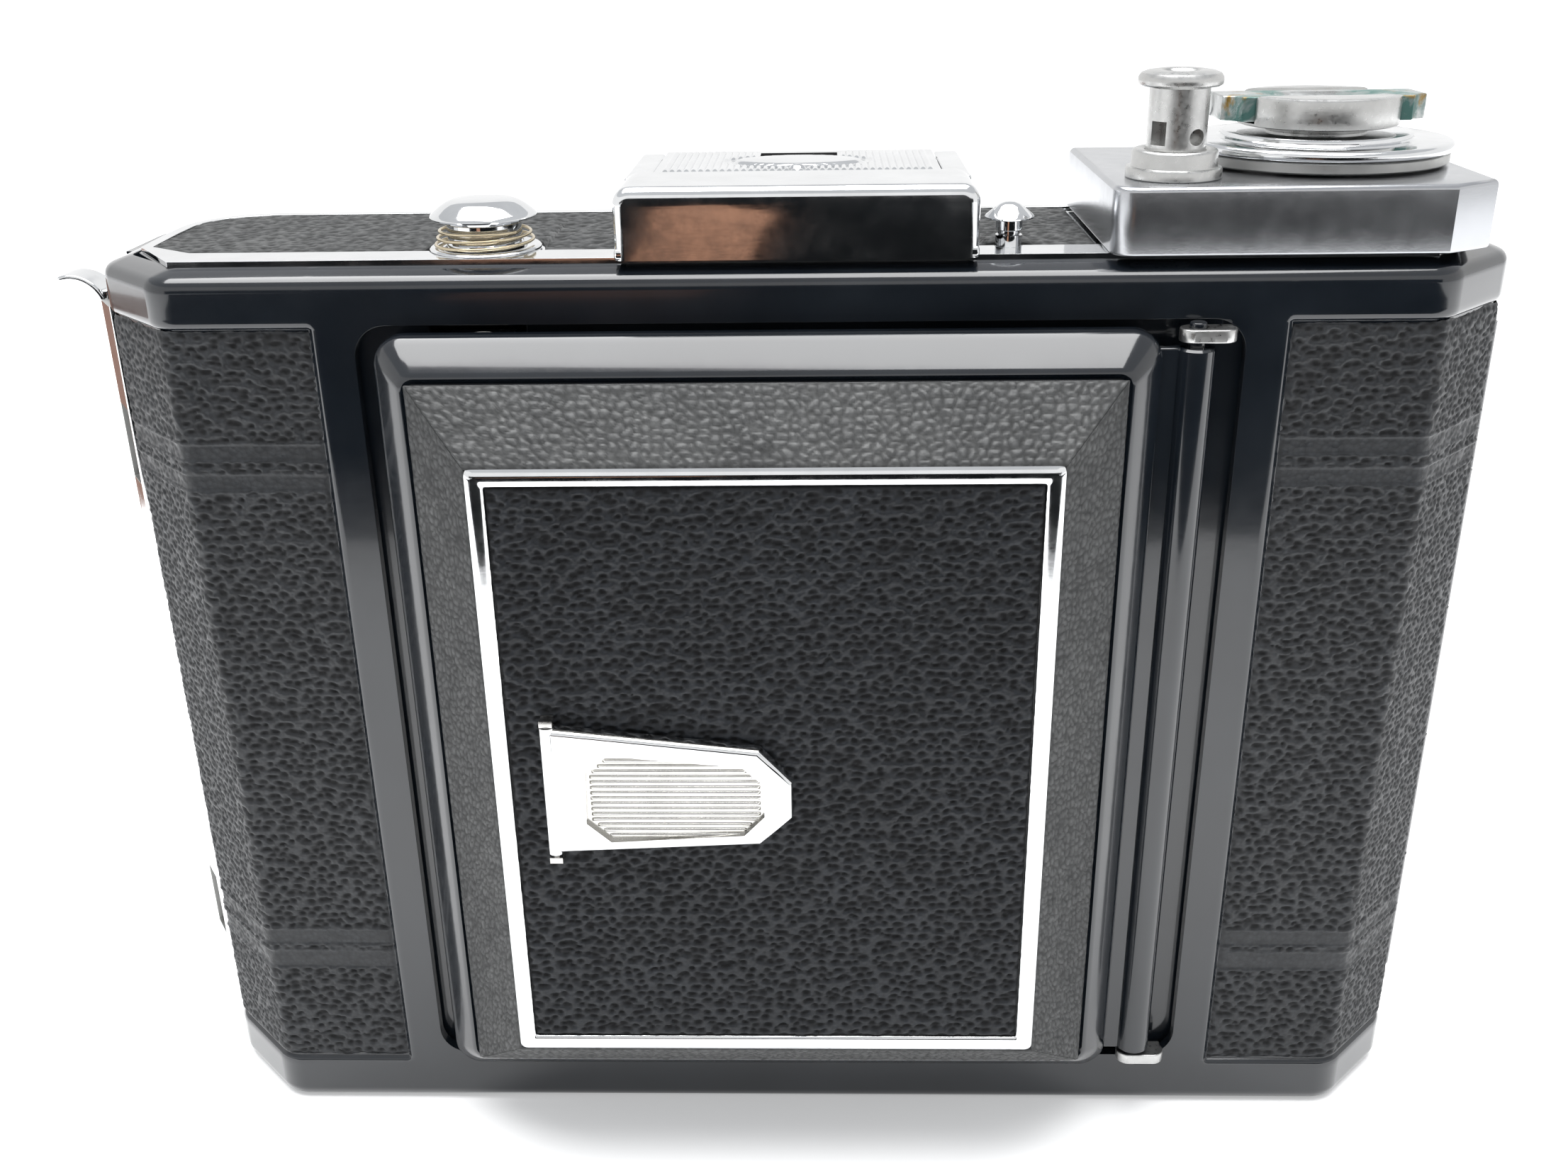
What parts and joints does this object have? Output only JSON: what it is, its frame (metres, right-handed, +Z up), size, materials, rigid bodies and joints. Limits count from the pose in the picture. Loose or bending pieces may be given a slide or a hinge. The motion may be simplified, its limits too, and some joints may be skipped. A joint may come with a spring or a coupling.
{
  "type": "folding roll-film camera",
  "caption": "Closed self-erecting folding roll-film camera with a hollow front door, bellows and lens inside, folding finder, release button and winding knob.",
  "frame": {"origin": "mouth of the tripod socket, in the middle of the body's bottom face", "axes": "+X to the right of somebody facing the door, along the body's width; +Y from the door to the back; +Z up, towards the winding knob"},
  "size_m": [0.1401, 0.0444, 0.1074],
  "materials": {
    "enamel": "gloss black enamel",
    "leatherette": "pebbled black leatherette",
    "slope_leatherette": "worn black leatherette",
    "polished_chrome": "polished",
    "satin_chrome": "satin",
    "nickel_steel": "turned",
    "dull_ring": "dull knurled",
    "matt_black": "matt black",
    "bellows_cloth": "pleated leathercloth",
    "lens_glass": "coated glass",
    "red_celluloid": "red celluloid",
    "spool_wood": "black spool",
    "verdigris_chrome": "chrome with verdigris"
  },
  "bodies": {
    "body": {"body_shell": "enamel", "end_plates": "enamel", "chamber_frame": "matt_black", "film_rollers": "nickel_steel", "spool_pins": "nickel_steel", "top_plate": "polished_chrome", "top_leather": "leatherette", "left_leather": "leatherette", "right_leather": "leatherette", "bottom_leather": "leatherette", "tripod_bush": "nickel_steel", "door_hinge_pin": "nickel_steel", "hinge_links": "polished_chrome", "latch_keepers": "polished_chrome", "bellows": "bellows_cloth", "back_hinge_pin": "enamel", "wind_housing": "satin_chrome", "release_collar": "satin_chrome", "button_washer": "polished_chrome", "button_spring": "nickel_steel", "finder_base": "polished_chrome"},
    "door": {"door_shell": "enamel", "door_leather": "slope_leatherette", "door_trim": "polished_chrome", "door_panel": "leatherette", "door_tongue": "nickel_steel", "foot_pin": "polished_chrome"},
    "foot": {"foot_plate": "polished_chrome"},
    "standard": {"standard_plate": "nickel_steel", "shutter_case": "matt_black", "rear_cell": "matt_black", "lens_rear": "lens_glass", "shutter_blades": "matt_black"},
    "focus": {"focus_ring": "satin_chrome", "lens_front": "lens_glass"},
    "speed": {"speed_ring": "satin_chrome"},
    "aperture": {"aperture_lever": "nickel_steel"},
    "cocking": {"cocking_lever": "nickel_steel"},
    "trigger": {"shutter_trigger": "nickel_steel"},
    "struts": {"standard_struts": "nickel_steel"},
    "links": {"door_links": "nickel_steel"},
    "back": {"back_cover": "enamel", "back_leather": "leatherette", "red_window": "red_celluloid", "plate_springs": "nickel_steel"},
    "pressure": {"pressure_plate": "matt_black"},
    "slider": {"window_slider": "satin_chrome"},
    "latch": {"latch_bar": "polished_chrome"},
    "winder": {"wind_wheel": "dull_ring", "wind_cap": "polished_chrome", "wind_knob": "polished_chrome", "wind_shaft": "nickel_steel", "take_up_spool": "spool_wood"},
    "key": {"wind_key": "verdigris_chrome"},
    "release": {"release_button": "satin_chrome"},
    "door_button": {"door_button": "polished_chrome"},
    "finder_lid": {"finder_lid": "satin_chrome", "eyepiece_glass": "lens_glass"},
    "finder_frame": {"finder_frame": "satin_chrome"},
    "finder_button": {"finder_button": "polished_chrome"}
  },
  "joints": [
    {"name": "door_hinge", "type": "hinge", "parent": "body", "child": "door", "pos_m": [0.035, -0.018, 0.0468], "axis": [0, 0, 1], "range_deg": [0, 90]},
    {"name": "standard_slide", "type": "slide", "parent": "body", "child": "standard", "axis": [0, -1, 0], "range_m": [0, 0.05], "deforming": ["bellows"]},
    {"name": "strut_swing", "type": "hinge", "parent": "standard", "child": "struts", "pos_m": [-0.022, -0.0154, 0.0462], "axis": [0, 0, 1], "range_deg": [0, 103]},
    {"name": "link_swing", "type": "hinge", "parent": "standard", "child": "links", "pos_m": [0.002, -0.0154, 0.0462], "axis": [0, 0, -1], "range_deg": [0, 176.1]},
    {"name": "foot_hinge", "type": "hinge", "parent": "door", "child": "foot", "pos_m": [-0.0227, -0.0292, 0.0468], "axis": [0, 0, -1], "range_deg": [0, 90]},
    {"name": "focus_turn", "type": "hinge", "parent": "standard", "child": "focus", "pos_m": [0, -0.02, 0.0462], "axis": [0, -1, 0], "range_deg": [0, 270]},
    {"name": "speed_turn", "type": "hinge", "parent": "standard", "child": "speed", "pos_m": [0, -0.02, 0.0462], "axis": [0, -1, 0], "range_deg": [0, 150]},
    {"name": "aperture_turn", "type": "hinge", "parent": "standard", "child": "aperture", "pos_m": [0, -0.0187, 0.0462], "axis": [0, -1, 0], "range_deg": [0, 60]},
    {"name": "cocking_turn", "type": "hinge", "parent": "standard", "child": "cocking", "pos_m": [0, -0.0198, 0.0462], "axis": [0, -1, 0], "range_deg": [0, 40], "stiffness_Nm_per_rad": 0.002},
    {"name": "trigger_turn", "type": "hinge", "parent": "standard", "child": "trigger", "pos_m": [0, -0.0172, 0.0462], "axis": [0, -1, 0], "range_deg": [0, 12], "stiffness_Nm_per_rad": 0.002},
    {"name": "back_hinge", "type": "hinge", "parent": "body", "child": "back", "pos_m": [0.06615, -0.003, 0.0462], "axis": [0, 0, -1], "range_deg": [0, 120]},
    {"name": "plate_travel", "type": "slide", "parent": "back", "child": "pressure", "axis": [0, 1, 0], "range_m": [0, 0.0006], "stiffness_N_per_m": 500},
    {"name": "window_slide", "type": "slide", "parent": "back", "child": "slider", "axis": [-1, 0, 0], "range_m": [0, 0.01]},
    {"name": "latch_hinge", "type": "hinge", "parent": "back", "child": "latch", "pos_m": [-0.0667, 0.0037, 0.0462], "axis": [0, 0, -1], "range_deg": [0, 35], "stiffness_Nm_per_rad": 0.02},
    {"name": "winder_turn", "type": "hinge", "parent": "body", "child": "winder", "pos_m": [0.0485, -0.0005, 0.099], "axis": [0, 0, 1], "continuous": true},
    {"name": "key_fold", "type": "hinge", "parent": "winder", "child": "key", "pos_m": [0.0485, 0.0024, 0.1032], "axis": [-1, 0, 0], "range_deg": [0, 90]},
    {"name": "release_press", "type": "slide", "parent": "body", "child": "release", "axis": [0, 0, -1], "range_m": [0, 0.003], "stiffness_N_per_m": 150},
    {"name": "door_button_press", "type": "slide", "parent": "body", "child": "door_button", "axis": [0, 0, -1], "range_m": [0, 0.0012], "stiffness_N_per_m": 300, "deforming": ["button_spring"]},
    {"name": "finder_button_press", "type": "slide", "parent": "body", "child": "finder_button", "axis": [0, 0, -1], "range_m": [0, 0.0012], "stiffness_N_per_m": 300},
    {"name": "finder_lid_hinge", "type": "hinge", "parent": "body", "child": "finder_lid", "pos_m": [0, 0.0093, 0.0977], "axis": [-1, 0, 0], "range_deg": [0, 90]},
    {"name": "finder_frame_hinge", "type": "hinge", "parent": "body", "child": "finder_frame", "pos_m": [0, -0.004, 0.095], "axis": [1, 0, 0], "range_deg": [0, 90]}
  ],
  "couplings": [
    {"joint": "standard_slide", "follows": "door_hinge", "m_per_rad": 0.0318},
    {"joint": "strut_swing", "follows": "door_hinge", "ratio": 1.1433},
    {"joint": "link_swing", "follows": "door_hinge", "ratio": 1.9556},
    {"joint": "finder_frame_hinge", "follows": "finder_lid_hinge", "ratio": 1}
  ]
}
